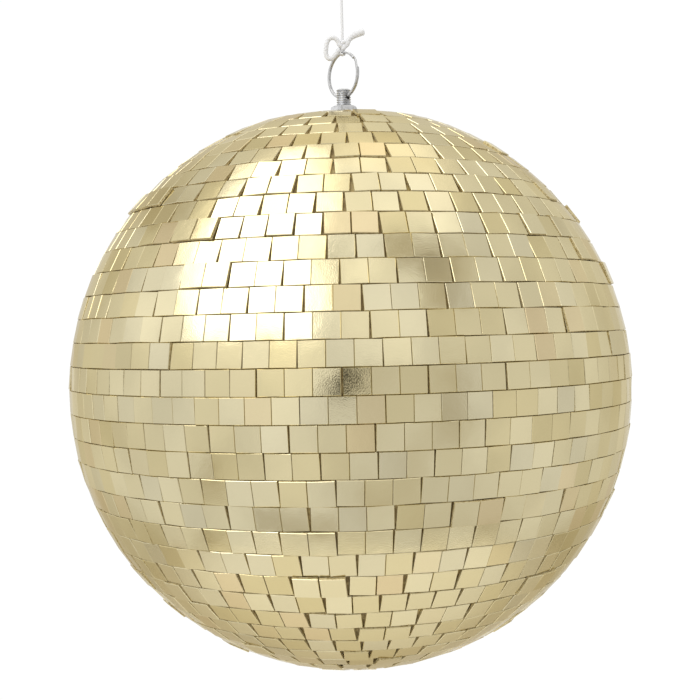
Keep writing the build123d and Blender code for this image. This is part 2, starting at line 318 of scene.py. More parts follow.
@dataclass(frozen=True)
class MetalFinish:
    """Plated steel with fine scratches and a few dull spots."""

    name: str
    bright: Colour
    dull: Colour
    roughness: float
    scratch_scale: float = 2600.0
    scratch_depth: float = 0.000006

    def build(self) -> bpy.types.Material:
        """Makes the material: cloudy plating, and scratches stretched along one axis."""
        shader = Shader(bpy.data.materials.new(self.name))
        cloud = shader.noise(420.0, 4.0, 0.6)
        share = shader.step(cloud, 0.4, 0.68)
        stretched = shader.node("Mapping", Vector=shader.coordinates(), Scale=(1.0, 1.0, 0.12))
        scratch = shader.noise(self.scratch_scale, 3.0, 0.7, stretched.outputs[0])
        colour = shader.mix(share, self.bright, self.dull)
        rough = shader.step(cloud, 0.3, 0.75, self.roughness, self.roughness + 0.16)
        normal = shader.bump(scratch * self.scratch_depth, 1.0, 1.0)
        return shader.principled(Base_Color=colour, Metallic=1.0, Roughness=rough, Normal=normal)


ZINC_PLATE = MetalFinish("zinc_plate", (0.61, 0.615, 0.625), (0.46, 0.465, 0.475), 0.34)
NICKEL_WIRE = MetalFinish("nickel_wire", (0.53, 0.53, 0.53), (0.41, 0.41, 0.41), 0.34)


@dataclass(frozen=True)
class CottonFinish:
    """Soft white cotton: matt, with painted shade that darkens the furrows between the plies, and fine
    fibres.
    """

    pale: Colour = (0.70, 0.70, 0.705)
    # furrow colour: the cotton darkened as painted shade for the furrows between the plies
    furrow: Colour = (0.65, 0.65, 0.655)

    def build(self) -> bpy.types.Material:
        """Makes the material: the ply attribute paints shade into the furrows, and fine noise roughens the
        fibres.
        """
        shader = Shader(bpy.data.materials.new("white_cotton"))
        fibre = shader.noise(5200.0, 3.0, 0.7)
        # painted shade: the colour darkens where the ply ridge is low, in the furrows between the plies
        furrow = shader.step(shader.attribute("ply"), 0.0, 0.55, 1.0, 0.0)
        shade = furrow * 0.75 + fibre * 0.25
        colour = shader.mix(shade, self.pale, self.furrow)
        normal = shader.bump(fibre * 0.00003, 0.5, 1.0)
        return shader.principled(Base_Color=colour, Roughness=0.92, Normal=normal)


@dataclass(frozen=True)
class FloorFinish:
    """A plain pale floor, with painted shade that darkens it towards its back and its rim.

    Its painted shade goes from dark at its back to pale between two distances towards the front, and from
    pale to dark at its rim between two squared distances from the middle.
    """

    colour: Colour = (0.88, 0.87, 0.84)
    # painted shade colour for the floor's back and rim, where the light falls off
    painted_shade_colour: Colour = (0.51, 0.48, 0.435)
    front: Vector = Vector((0.766, -0.643, 0.0))
    back_limits: tuple[float, float] = (-0.55, 0.15)
    rim_limits: tuple[float, float] = (0.16, 0.55)
    mottling: float = 0.05

    def build(self) -> bpy.types.Material:
        """Makes the material: matt, with painted shade that darkens it with distance back and outwards, and
        faint mottling.
        """
        shader = Shader(bpy.data.materials.new("pale_floor_painted_shade"))
        place = shader.coordinates()
        # painted shade: near is 1 on the lit front of the floor and falls to 0 towards its back and rim
        near = shader.step(shader.dot(place, self.front), *self.back_limits)
        east = shader.dot(place, Vector((1.0, 0.0, 0.0)))
        north = shader.dot(place, Vector((0.0, 1.0, 0.0)))
        near = near * shader.step(east * east + north * north, *self.rim_limits, 1.0, 0.0)
        share = (1 - near) * (1 - self.mottling) + shader.noise(3.0, 2.0) * self.mottling
        # painted shade: the floor darkens to the shade colour away from its lit front and middle
        colour = shader.mix(share, self.colour, self.painted_shade_colour)
        return shader.principled(Base_Color=colour, Roughness=0.9)


# ---------------- meshes


def corners_of(node: bpy.types.Object) -> Array:
    """The node's vertices, one row each, in metres."""
    flat = np.empty(len(node.data.vertices) * 3)
    node.data.vertices.foreach_get("co", flat)
    return flat.reshape(-1, 3)


def unit(vectors: Array) -> Array:
    """Each vector divided by its own length."""
    return vectors / np.linalg.norm(vectors, axis=-1, keepdims=True)


def grid_faces(rows: int, columns: int, wrap_rows: bool, wrap_columns: bool = True) -> Array:
    """Quads of a grid of points stored row after row.

    Face (i, j) joins points (i, j), (i, j+1), (i+1, j+1) and (i+1, j). A wrapped direction joins its last
    line of points to its first.
    """
    down = np.arange(rows if wrap_rows else rows - 1)[:, None]
    across = np.arange(columns if wrap_columns else columns - 1)[None, :]
    next_down = (down + 1) % rows
    next_across = (across + 1) % columns
    quads = [
        down * columns + across,
        down * columns + next_across,
        next_down * columns + next_across,
        next_down * columns + across,
    ]
    shape = len(down), across.shape[1]
    return np.stack([np.broadcast_to(q, shape) for q in quads], axis=-1).reshape(-1, 4)


@dataclass
class Surface:
    """Points, faces and numbers per point, which can be joined and then made into a piece."""

    points: Array
    faces: list
    values: dict = field(default_factory=dict)
    slots: Optional[Array] = None

    def joined(self, other: "Surface") -> "Surface":
        """Both surfaces as one, without merging their points."""
        shift = len(self.points)
        faces = list(self.faces) + [tuple(int(i) + shift for i in f) for f in other.faces]
        values = {key: np.concatenate([self.values[key], other.values[key]]) for key in self.values}
        return Surface(np.concatenate([self.points, other.points]), faces, values)


def make_piece(
    name: str,
    surface: Surface,
    materials: Sequence[bpy.types.Material],
    body: Body,
    replaced: Sequence[str] = (),
    sharp_degrees: float = 180.0,
) -> bpy.types.Object:
    """Makes a piece from a surface, dresses it and lets it ride on a body.

    Args:
        name: the piece's name.
        surface: its points, faces, numbers per point and material places per face.
        materials: the piece's materials.
        body: the body it moves with.
        replaced: CAD nodes that it stands for.
        sharp_degrees: edges that turn more than this are drawn sharp.

    Returns:
        The new object.
    """
    mesh = bpy.data.meshes.new(name)
    mesh.from_pydata(surface.points.tolist(), [], [tuple(map(int, f)) for f in surface.faces])
    mesh.polygons.foreach_set("use_smooth", np.ones(len(mesh.polygons), bool))
    if surface.slots is not None:
        mesh.polygons.foreach_set("material_index", surface.slots.astype(np.int32))
    for key, numbers in surface.values.items():
        layer = mesh.attributes.new(key, "FLOAT", "POINT")
        layer.data.foreach_set("value", numbers.astype(np.float32))
    mesh.update()
    if sharp_degrees < 180.0:
        mesh.set_sharp_from_angle(angle=math.radians(sharp_degrees))
    piece = bpy.data.objects.new(name, mesh)
    bpy.context.scene.collection.objects.link(piece)
    for material in materials:
        mesh.materials.append(material)
    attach(piece, body.value)
    if replaced:
        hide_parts(*replaced)
    LOG.info("%s: %d faces on %s", name, len(mesh.polygons), body.value)
    return piece


def dress(node: str, material: bpy.types.Material) -> None:
    """Gives a CAD node a better material in each of its slots."""
    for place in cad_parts[node].material_slots:
        place.material = material
    LOG.info("%s: dressed in %s", node, material.name)


# ---------------- tiles


@dataclass
class MirrorTiles:
    """The rows of mirror tiles, each tile rebuilt on its CAD block with a crowned face and eased edges.

    Tiles lower than close_height from the ball's middle stand closer together than those near its poles.
    """

    crown: float = 0.07 * MM
    crown_spread: float = 0.025 * MM
    lean: float = 0.011
    ease_width: float = 0.17 * MM
    ease_depth: float = 0.22 * MM
    spread: float = 0.02 * MM
    close_spread: float = 0.16 * MM
    close_height: float = 75.0 * MM
    lean_limit: float = 0.02
    inner_rings: tuple[float, float] = (0.86, 0.5)
    tone: float = 0.38
    tone_spread: float = 0.42
    sharp_degrees: float = 15.0
    seed: int = 7
    corners_per_tile: int = 24

    def __post_init__(self) -> None:
        """Lists the tile nodes and finds the ball's centre from the two halves of its core."""
        self.rows = sorted(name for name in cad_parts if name.startswith("tile_"))
        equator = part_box("core_shell_upper")[0].z
        self.centre = np.array([0.0, 0.0, equator])
        self.random = np.random.default_rng(self.seed)
        self.hues = np.random.default_rng(self.seed + 1)

    def blocks(self, node: str) -> tuple[Array, Array]:
        """Middle and half-size vectors of every tile of a row.

        A half-size vector is the mean of a block's corners about its middle, each taken with the sign of
        the side it lies on: outwards, eastwards or northwards.

        Args:
            node: the row's name.

        Returns:
            The middles, and for each tile its outward, eastward and northward half-size vectors.
        """
        corners = corners_of(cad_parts[node]).reshape(-1, self.corners_per_tile, 3)
        middle = corners.mean(axis=1)
        outward = unit(middle - self.centre)
        pole = np.array([0.0, 0.0, 1.0])
        flat = np.linalg.norm(np.cross(pole, outward), axis=1) < 1e-3
        eastward = np.where(flat[:, None], np.array([1.0, 0.0, 0.0]), np.cross(pole, outward))
        eastward = unit(eastward)
        northward = np.cross(outward, eastward)
        offsets = corners - middle[:, None]
        axes = np.stack([outward, eastward, northward], axis=1)
        sides = np.sign(np.einsum("tcx,tax->tac", offsets, axes))
        halves = np.einsum("tac,tcx->tax", sides, offsets) / self.corners_per_tile
        return middle, halves

    def outline(self) -> tuple[Array, list, Array]:
        """One tile on a square from -1 to 1: rings of eight points from the back to the crowned middle.

        Returns:
            A ring's places on the square, the faces, and each face's material place: the cut edge for
            the back and the sides, and the mirror for the eased edge and the face.
        """
        sides, rings = 8, 5
        angles = np.arange(sides) * math.pi / 4
        square = np.stack([np.cos(angles), np.sin(angles)], axis=1)
        square /= np.abs(square).max(axis=1, keepdims=True)
        last, peak = (rings - 1) * sides, rings * sides
        faces = [tuple(range(sides - 1, -1, -1))]
        faces += [tuple(f) for f in grid_faces(rings, sides, wrap_rows=False)]
        faces += [(last + i, last + (i + 1) % sides, peak) for i in range(sides)]
        places = (np.arange(len(faces)) <= sides).astype(int)
        return square, faces, places

    def row(self, node: str) -> Surface:
        """All tiles of a row.

        A point is the middle of the face, plus its place on the square times the tile's two half sizes,
        plus a height: minus the thickness at the back, minus the eased edge's depth at the side, and the
        crown times one minus the square of the point's share of the half sizes on the face. The face is
        narrower than the side by the eased edge's width.

        Args:
            node: the row's name.

        Returns:
            The row's surface.
        """
        middle, halves = self.blocks(node)
        square, faces, places = self.outline()
        lengths = np.linalg.norm(halves, axis=2)
        directions = halves / lengths[:, :, None]
        count = len(middle)
        close = np.abs(middle[:, 2] - self.centre[2]) < self.close_height
        reach = lengths[:, 1:] + np.where(close, self.close_spread, self.spread)[:, None]
        thick = 2 * lengths[:, 0]
        crown = self.random.normal(self.crown, self.crown_spread, count)
        lean = self.random.normal(0.0, self.lean, (count, 2)).clip(-self.lean_limit, self.lean_limit)
        points = []
        for inset, back, drop in ((0.0, -1.0, 0.0), (0.0, 0.0, -1.0), (-1.0, 0.0, 0.0)):
            size = reach + inset * self.ease_width
            height = back * thick + drop * self.ease_depth
            slope = lean * (1.0 + back)
            points.append(self._ring(middle, directions, square, size, height, lengths, slope))
        for share in self.inner_rings:
            height = crown * (1 - share**2)
            points.append(self._ring(middle, directions, square, reach * share, height, lengths, lean))
        peak = middle + directions[:, 0] * (lengths[:, :1] + crown[:, None])
        points.append(peak[:, None])
        stacked = np.concatenate(points, axis=1)
        per_tile = stacked.shape[1]
        shift = (np.arange(count) * per_tile).tolist()
        all_faces = [tuple(i + s for i in f) for s in shift for f in faces]
        tone = self.random.normal(self.tone, self.tone_spread, count).clip(0, 1)
        hue = self.hues.random(count)
        values = {"tone": np.repeat(tone, per_tile), "hue": np.repeat(hue, per_tile)}
        return Surface(stacked.reshape(-1, 3), all_faces, values, np.tile(places, count))

    @staticmethod
    def _ring(
        middle: Array,
        directions: Array,
        square: Array,
        size: Array,
        height: Array,
        lengths: Array,
        slope: Array,
    ) -> Array:
        """Eight points of every tile at a half size, and at a height above its face that slopes across it."""
        flat = np.einsum("px,tx,txd->tpd", square, size, directions[:, 1:])
        tipped = np.einsum("px,tx,tx->tp", square, size, slope)
        rise = (lengths[:, 0] + height)[:, None] + tipped
        return middle[:, None] + rise[..., None] * directions[:, :1] + flat

    def build(self, mirror: bpy.types.Material, edge: bpy.types.Material) -> None:
        """Makes one piece for each row in place of its CAD node."""
        for node in self.rows:
            name = node.replace("tile_", "mirror_")
            surface = self.row(node)
            make_piece(name, surface, [mirror, edge], Body.BALL, [node], self.sharp_degrees)


# ---------------- string


def spline_line(route: Route, steps: int = 40) -> Array:
    """Points along the smooth curve that the route's points pull.

    Args:
        route: control points in metres.
        steps: points of the curve for each control point.

    Returns:
        The curve's points, one row each.
    """
    data = bpy.data.curves.new("route", "CURVE")
    data.dimensions = "3D"
    spline = data.splines.new("NURBS")
    spline.points.add(len(route) - 1)
    spline.points.foreach_set("co", np.array([(*p, 1.0) for p in route]).ravel())
    spline.order_u = 3
    spline.use_endpoint_u = True
    spline.resolution_u = steps
    carrier = bpy.data.objects.new("route", data)
    mesh = bpy.data.meshes.new_from_object(carrier)
    points = np.empty(len(mesh.vertices) * 3)
    mesh.vertices.foreach_get("co", points)
    bpy.data.meshes.remove(mesh)
    bpy.data.objects.remove(carrier)
    bpy.data.curves.remove(data)
    return points.reshape(-1, 3)


def even_line(points: Array, step: float) -> Array:
    """The same line with its points the same distance apart."""
    runs = np.linalg.norm(np.diff(points, axis=0), axis=1)
    along = np.concatenate([[0.0], np.cumsum(runs)])
    places = np.linspace(0.0, along[-1], max(8, int(along[-1] / step)))
    return np.stack([np.interp(places, along, points[:, axis]) for axis in range(3)], axis=1)


@dataclass
class TwistedYarn:
    """A cord of plies twisted together: a tube whose section has one lobe for each ply and turns along it."""

    diameter: float
    plies: int = 3
    lay_length: float = 5.2 * MM
    furrow: float = 0.13
    sides: int = 30
    ridge_power: float = 0.6
    tip_length: float = 0.45
    least_tip: float = 0.02
    fuzz_per_metre: float = 3800.0
    fuzz_root: float = 0.4
    fuzz_length: float = 0.7 * MM
    fuzz_limit: float = 0.8 * MM
    fuzz_radius: float = 0.011 * MM
    fuzz_aside: float = 0.6
    fuzz_bend: float = 0.7
    fuzz_bend_limit: float = 1.3
    fuzz_taper: float = 0.85
    seed: int = 3

    def frames(self, line: Array, across: Array, closed: bool) -> tuple[Array, Array, Array]:
        """Tangent and two normals at each point; across is never along the line."""
        if closed:
            tangent = unit(np.roll(line, -1, axis=0) - np.roll(line, 1, axis=0))
        else:
            tangent = unit(np.gradient(line, axis=0))
        first = unit(np.cross(tangent, across))
        return tangent, first, np.cross(tangent, first)

    def tube(
        self,
        line: Array,
        across: Array,
        closed: bool = False,
        thick: Any = 1.0,
        tips: bool = False,
    ) -> Surface:
        """The twisted tube along a line.

        A point is the line's point plus radius times (cos a, sin a) on the two normals. The radius is
        half the diameter times 1 - furrow * (1 - ridge), where ridge is the size of the cosine of
        plies / 2 times (a minus the twist), to the ridge's power, and the twist grows by a turn for each
        lay length. A rounded end is a quarter of a circle that is tip_length diameters long.

        Args:
            line: points of the centre line.
            across: a direction never along the line.
            closed: joins the line's end to its start.
            thick: thickness along the line, as a share of the diameter.
            tips: rounds and closes both ends.

        Returns:
            The tube's surface, with the ridge as its ply number.
        """
        _, first, second = self.frames(line, across, closed)
        runs = np.linalg.norm(np.diff(line, axis=0), axis=1)
        along = np.concatenate([[0.0], np.cumsum(runs)])
        length = along[-1] + (np.linalg.norm(line[0] - line[-1]) if closed else 0.0)
        turns = max(1, round(length / self.lay_length)) if closed else length / self.lay_length
        twist = 2 * math.pi * turns * along / length
        angle = np.linspace(0.0, 2 * math.pi, self.sides, endpoint=False)
        ridge = np.abs(np.cos(self.plies / 2 * (angle[None] - twist[:, None]))) ** self.ridge_power
        share = np.broadcast_to(np.asarray(thick, float), along.shape).copy()
        if tips:
            end = np.minimum(along, length - along) / (self.diameter * self.tip_length)
            share *= np.sqrt(1 - (1 - end.clip(self.least_tip, 1.0)) ** 2)
        radius = self.diameter / 2 * share[:, None] * (1 - self.furrow * (1 - ridge))
        points = (
            line[:, None]
            + radius[..., None] * np.cos(angle)[None, :, None] * first[:, None]
            + radius[..., None] * np.sin(angle)[None, :, None] * second[:, None]
        )
        rows = len(line)
        faces = [tuple(f) for f in grid_faces(rows, self.sides, wrap_rows=closed)]
        if not closed:
            last = (rows - 1) * self.sides
            faces.append(tuple(range(self.sides - 1, -1, -1)))
            faces.append(tuple(range(last, last + self.sides)))
        return Surface(points.reshape(-1, 3), faces, {"ply": ridge.reshape(-1)})

    def fuzz(self, line: Array, across: Array, thick: Any = 1.0, density: float = 1.0) -> Surface:
        """Loose fibres: thin three-sided hairs that leave the surface and bend along the cord.

        A hair's middle is root + out * (length * t) + along * (bend * t squared), with t from 0 to 1, and
        its radius shrinks as one minus the taper times t.

        Args:
            line: points of the centre line.
            across: a direction never along the line.
            thick: thickness along the line, as a share of the diameter.
            density: hairs, as a share of the usual number.

        Returns:
            The hairs' surface.
        """
        random = np.random.default_rng(self.seed)
        tangent, first, second = self.frames(line, across, closed=False)
        length = np.linalg.norm(np.diff(line, axis=0), axis=1).sum()
        count = max(6, int(length * self.fuzz_per_metre * density))
        place = random.integers(1, len(line) - 1, count)
        angle = random.uniform(0, 2 * math.pi, count)
        share = np.broadcast_to(np.asarray(thick, float), (len(line),))[place]
        out = np.cos(angle)[:, None] * first[place] + np.sin(angle)[:, None] * second[place]
        root = line[place] + out * (self.diameter * self.fuzz_root * share)[:, None]
        reach = np.minimum(random.gamma(2.0, self.fuzz_length / 2, count), self.fuzz_limit)[:, None, None]
        sideways = np.cross(tangent[place], out) * random.normal(0, self.fuzz_aside, count)[:, None]
        leave = unit(out + sideways)[:, None]
        swing = random.normal(0, self.fuzz_bend, count).clip(-self.fuzz_bend_limit, self.fuzz_bend_limit)
        bend = (tangent[place] * swing[:, None])[:, None]
        rings, sides = 5, 3
        t = np.linspace(0, 1, rings)[None, :, None]
        middle = root[:, None] + leave * reach * t + bend * reach * t**2
        turn = np.arange(sides) * 2 * math.pi / sides
        side = unit(np.cross(leave, unit(bend + 1e-9)))
        other = np.cross(leave, side)
        size = self.fuzz_radius * (1 - self.fuzz_taper * t)[..., None]
        ring = np.cos(turn)[:, None] * side[:, :, None] + np.sin(turn)[:, None] * other[:, :, None]
        points = middle[:, :, None] + size * ring
        shift = (np.arange(count) * rings * sides)[:, None, None]
        faces = (grid_faces(rings, sides, wrap_rows=False)[None] + shift).reshape(-1, 4)
        last = (rings - 1) * sides
        caps = np.array([[2, 1, 0], [last, last + 1, last + 2]])
        ends = (caps[None] + shift).reshape(-1, 3)
        everything = [tuple(f) for f in faces] + [tuple(f) for f in ends]
        return Surface(points.reshape(-1, 3), everything, {"ply": np.ones(count * rings * sides)})


@dataclass
class StringWork:
    """The cotton string: the taut line with its hanging loop, the hitch on the ring, the bow and the tail.

    Routes, heights, knot sizes, wire_radius and the hitch's pitch, depth and height are in millimetres, and
    heights are above the ball's centre.
    """

    ball_height: float
    taut_diameter: float = 1.6 * MM
    slack_diameter: float = 2.6 * MM
    slack_lay: float = 5.8 * MM
    slack_fuzz_per_metre: float = 6000.0
    line_step: float = 0.16 * MM
    path_stride: int = 4
    swell: float = 0.5
    swell_start: float = 0.74
    swell_run: float = 0.18
    knot_lay: float = 4.6 * MM
    knot_points: int = 240
    knot_depth: float = 0.42
    knot_slant: tuple[float, float] = (0.31, 0.23)
    loop_knot_size: tuple[float, float, float] = (1.6, 2.1, 1.0)
    hitch_knot_size: tuple[float, float, float] = (2.1, 2.2, 1.2)
    hitch_strand: float = 1.12 * MM
    hitch_lay: float = 4.0 * MM
    hitch_turns: float = 1.4
    hitch_points: int = 260
    hitch_pitch: float = 1.12
    hitch_depth: float = 1.33
    hitch_height: float = 1.12
    wire_radius: float = 0.575
    bow_plane_degrees: float = 50.0
    knot_top: float = 188.6
    hitch_knot_middle: float = 186.5
    loop_knot_middle: float = 222.2
    loop_half: Sequence[tuple[float, float]] = (
        (1.0, 225.4),
        (2.3, 230.6),
        (5.2, 238.2),
        (6.0, 246.5),
        (2.5, 250.0),
    )
    bow_route: Route = (
        (-1.3, 185.6, 0.3),
        (-2.4, 188.8, 0.8),
        (-4.2, 190.6, 1.0),
        (-6.6, 190.6, 0.9),
        (-8.4, 188.8, 0.6),
        (-9.3, 183.6, 0.2),
        (-8.9, 180.7, 0.0),
        (-7.4, 179.2, 0.1),
        (-5.5, 179.5, 0.3),
        (-3.2, 182.2, 0.5),
        (-1.5, 184.8, 0.4),
    )
    tail_route: Route = (
        (1.4, 185.6, 0.3),
        (2.9, 187.2, 0.6),
        (3.3, 189.3, 0.5),
        (5.0, 190.9, 0.3),
        (8.4, 192.6, 0.7),
        (12.2, 193.6, 0.9),
    )

    def __post_init__(self) -> None:
        """Works out the directions of the bow's plane."""
        angle = math.radians(self.bow_plane_degrees)
        self.right = np.array([math.cos(angle), math.sin(angle), 0.0])
        self.toward = np.array([math.sin(angle), -math.cos(angle), 0.0])

    def up(self, height: float) -> float:
        """A height above the ball's centre, in millimetres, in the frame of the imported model."""
        return height * MM + self.ball_height

    def in_bow_plane(self, route: Route) -> Route:
        """Places of (across, up, out) points, with out towards the viewer's side of the bow."""
        table = np.array(route)
        flat = table[:, :1] * MM * self.right + table[:, 2:] * MM * self.toward
        flat[:, 2] = table[:, 1] * MM + self.ball_height
        return [tuple(map(float, p)) for p in flat]

    def build_line(self, cotton: bpy.types.Material) -> None:
        """The taut line from the hitch to the loop knot, round the hanging loop and back."""
        half = [(across * MM, 0.0, self.up(high)) for across, high in self.loop_half]
        back = [(-across, depth, high) for across, depth, high in reversed(half)]
        route = [
            (0.0, 0.0, self.up(self.knot_top - 1.2)),
            (0.0, 0.0, self.up(198.0)),
            (0.0, 0.0, self.up(212.0)),
            (0.0, 0.0, self.up(self.loop_knot_middle)),
            *half,
            *back,
            (-0.2 * MM, 0.0, self.up(self.loop_knot_middle)),
        ]
        across = np.array([0.0, 1.0, 0.0])
        line = even_line(spline_line(route), self.line_step)
        yarn = TwistedYarn(self.taut_diameter)
        surface = yarn.tube(line, across).joined(yarn.fuzz(line, across))
        nodes = ["string_taut", "string_loop"]
        piece = make_piece("string_line", surface, [cotton], Body.STRING, nodes)
        knot = self.knot(
            "hanging_loop_knot",
            self.loop_knot_middle,
            self.loop_knot_size,
            cotton,
            Body.STRING,
            "loop_knot",
        )

    def knot(
        self,
        name: str,
        middle: float,
        size: tuple[float, float, float],
        cotton: bpy.types.Material,
        body: Body,
        node: Optional[str] = None,
    ) -> bpy.types.Object:
        """A drawn overhand knot as one closed strand.

        Its line is (sin t + 2 sin 2t, -sin 3t, cos t - 2 cos 2t), scaled to the knot's half width, its
        depth and its half height, with t from 0 to a full turn.

        Args:
            name: the piece's name.
            middle: height of its middle above the ball's centre, in millimetres.
            size: its line's half width and half height and the strand's radius, in millimetres.
            cotton: the material.
            body: the body it rides on.
            node: the CAD node that it replaces, if it replaces one.

        Returns:
            The piece.
        """
        width, height, strand = size
        t = np.linspace(0, 2 * math.pi, self.knot_points, endpoint=False)
        wide = (np.sin(t) + 2 * np.sin(2 * t)) / 3 * width * MM
        deep = -np.sin(3 * t) * width * self.knot_depth * MM
        high = (np.cos(t) - 2 * np.cos(2 * t)) / 3 * height * MM
        line = wide[:, None] * self.right + deep[:, None] * self.toward
        line[:, 2] += high + self.up(middle)
        yarn = TwistedYarn(2 * strand * MM, lay_length=self.knot_lay)
        aside, rise = self.knot_slant
        slanted = unit(self.toward + aside * self.right + np.array([0.0, 0.0, rise]))
        surface = yarn.tube(line, slanted, closed=True)
        surface = surface.joined(yarn.fuzz(line, slanted, density=0.8))
        return make_piece(name, surface, [cotton], body, [node] if node else [])

    def build_hitch(self, cotton: bpy.types.Material) -> None:
        """The string's turns round the ring's wire, drawn flat against it, and the knot above them.

        Their line is a flattened helix about the X axis through the ring's wire, with t counting turns:
        x = pitch * t, y = half depth * sin 2 pi t and z = wire + half height * cos 2 pi t.
        """
        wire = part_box("split_ring")[1].z - self.wire_radius * MM
        t = np.linspace(-self.hitch_turns / 2, self.hitch_turns / 2, self.hitch_points)
        around = 2 * math.pi * t
        wrap = [t * self.hitch_pitch, self.hitch_depth * np.sin(around), self.hitch_height * np.cos(around)]
        line = np.stack(wrap, axis=1) * MM
        line[:, 2] += wire
        yarn = TwistedYarn(self.hitch_strand, lay_length=self.hitch_lay, sides=22)
        across = np.array([1.0, 0.0, 0.0])
        surface = yarn.tube(line, across, tips=True).joined(yarn.fuzz(line, across, density=0.5))
        make_piece("hitch_turns", surface, [cotton], Body.HITCH, ["string_hitch"])
        self.knot("hitch_knot", self.hitch_knot_middle, self.hitch_knot_size, cotton, Body.HITCH)

    def build_slack(self, cotton: bpy.types.Material) -> None:
        """The slack bow, through the knot, and out to the loose tail, which frays and swells at its end."""
        route = self.in_bow_plane((*reversed(self.bow_route), *self.tail_route))
        line = even_line(spline_line(route), self.line_step)
        runs = np.linalg.norm(np.diff(line, axis=0), axis=1)
        along = np.concatenate([[0.0], np.cumsum(runs)])
        length = float(along[-1])
        share = np.clip((along - self.swell_start * length) / (self.swell_run * length), 0, 1)
        swell = 1 + self.swell * share**0.8
        yarn = TwistedYarn(
            self.slack_diameter, lay_length=self.slack_lay, fuzz_per_metre=self.slack_fuzz_per_metre, seed=11
        )
        surface = yarn.tube(line, self.toward, thick=swell, tips=True)
        surface = surface.joined(yarn.fuzz(line, self.toward, thick=swell))
        nodes = ["string_bow", "string_tail"]
        piece = make_piece("string_bow_and_tail", surface, [cotton], Body.HITCH, nodes)
        LOG.info("bow and tail: %.1f mm", length / MM)


# ---------------- stage


@dataclass(frozen=True)
class RoomThing:
    """A thing in the room, as the tiles mirror it.

    Its corners are in degrees across and up from the direction to the camera, its level is how bright it is
    beside the pale walls, and soft is half the width of its blurred edge, in degrees.
    """

    corners: tuple[tuple[float, float], ...]
    level: float
    soft: float = 2.0


def upright(left: float, right: float, low: float, high: float, level: float, soft: float = 2.0) -> RoomThing:
    """A thing with upright sides, from its left, right, low and high limits in degrees."""
    return RoomThing(((left, low), (right, low), (right, high), (left, high)), level, soft)


ROOM_THINGS = (
    RoomThing(
        ((-48.0, 106.0), (-66.0, 73.0), (-72.0, 23.0), (-13.0, 21.0), (-6.0, 72.0), (-10.0, 108.0)), 3.2, 5.0
    ),
    RoomThing(
        ((-58.0, 92.0), (-84.0, 70.0), (-92.0, 12.0), (-14.0, 6.0), (-8.0, 70.0), (-14.0, 98.0)), 1.25, 11.0
    ),
    upright(-4.0, 44.0, 62.0, 112.0, 1.5, 5.0),
    upright(-40.0, 40.0, 104.0, 130.0, 1.3, 8.0),
    upright(-112.0, -77.0, 15.0, 78.0, 1.06, 6.0),
    upright(-62.0, -17.0, -18.0, 18.0, 1.10, 6.0),
    upright(-30.0, -10.0, -40.0, 18.0, 1.12, 4.0),
    upright(-4.0, 27.0, 13.0, 49.0, 1.24, 4.0),
    upright(-1.0, 13.0, 44.0, 66.0, 1.30, 3.0),
    upright(2.0, 42.0, -60.0, 10.0, 0.86),
    upright(-16.0, -4.0, 47.0, 56.0, 0.68),
    upright(14.0, 42.0, 48.0, 57.0, 0.72),
    upright(30.0, 46.0, 32.0, 57.0, 0.68),
    upright(32.0, 44.0, -22.0, 12.0, 0.88),
    upright(-37.0, -4.0, -54.0, -45.0, 0.70),
    upright(-62.0, -50.0, -37.0, -26.0, 0.68, 1.5),
    upright(-66.0, -54.0, -66.0, -57.0, 0.66, 1.5),
    upright(-104.0, -72.0, 72.0, 95.0, 0.72, 4.0),
    upright(44.0, 62.0, -64.0, -52.0, 0.86, 3.0),
    upright(48.0, 118.0, -110.0, -58.0, 0.70, 8.0),
    upright(-118.0, -76.0, -112.0, -62.0, 0.78, 8.0),
    upright(-125.0, -82.0, 94.0, 122.0, 0.80, 7.0),
    RoomThing(((30.0, -104.0), (95.0, -95.0), (75.0, -132.0), (30.0, -142.0)), 0.74, 8.0),
    RoomThing(((-28.0, -112.0), (-30.0, -142.0), (-78.0, -128.0), (-98.0, -98.0)), 0.78, 8.0),
    upright(-34.0, -12.0, -74.0, -54.0, 1.22, 3.0),
)


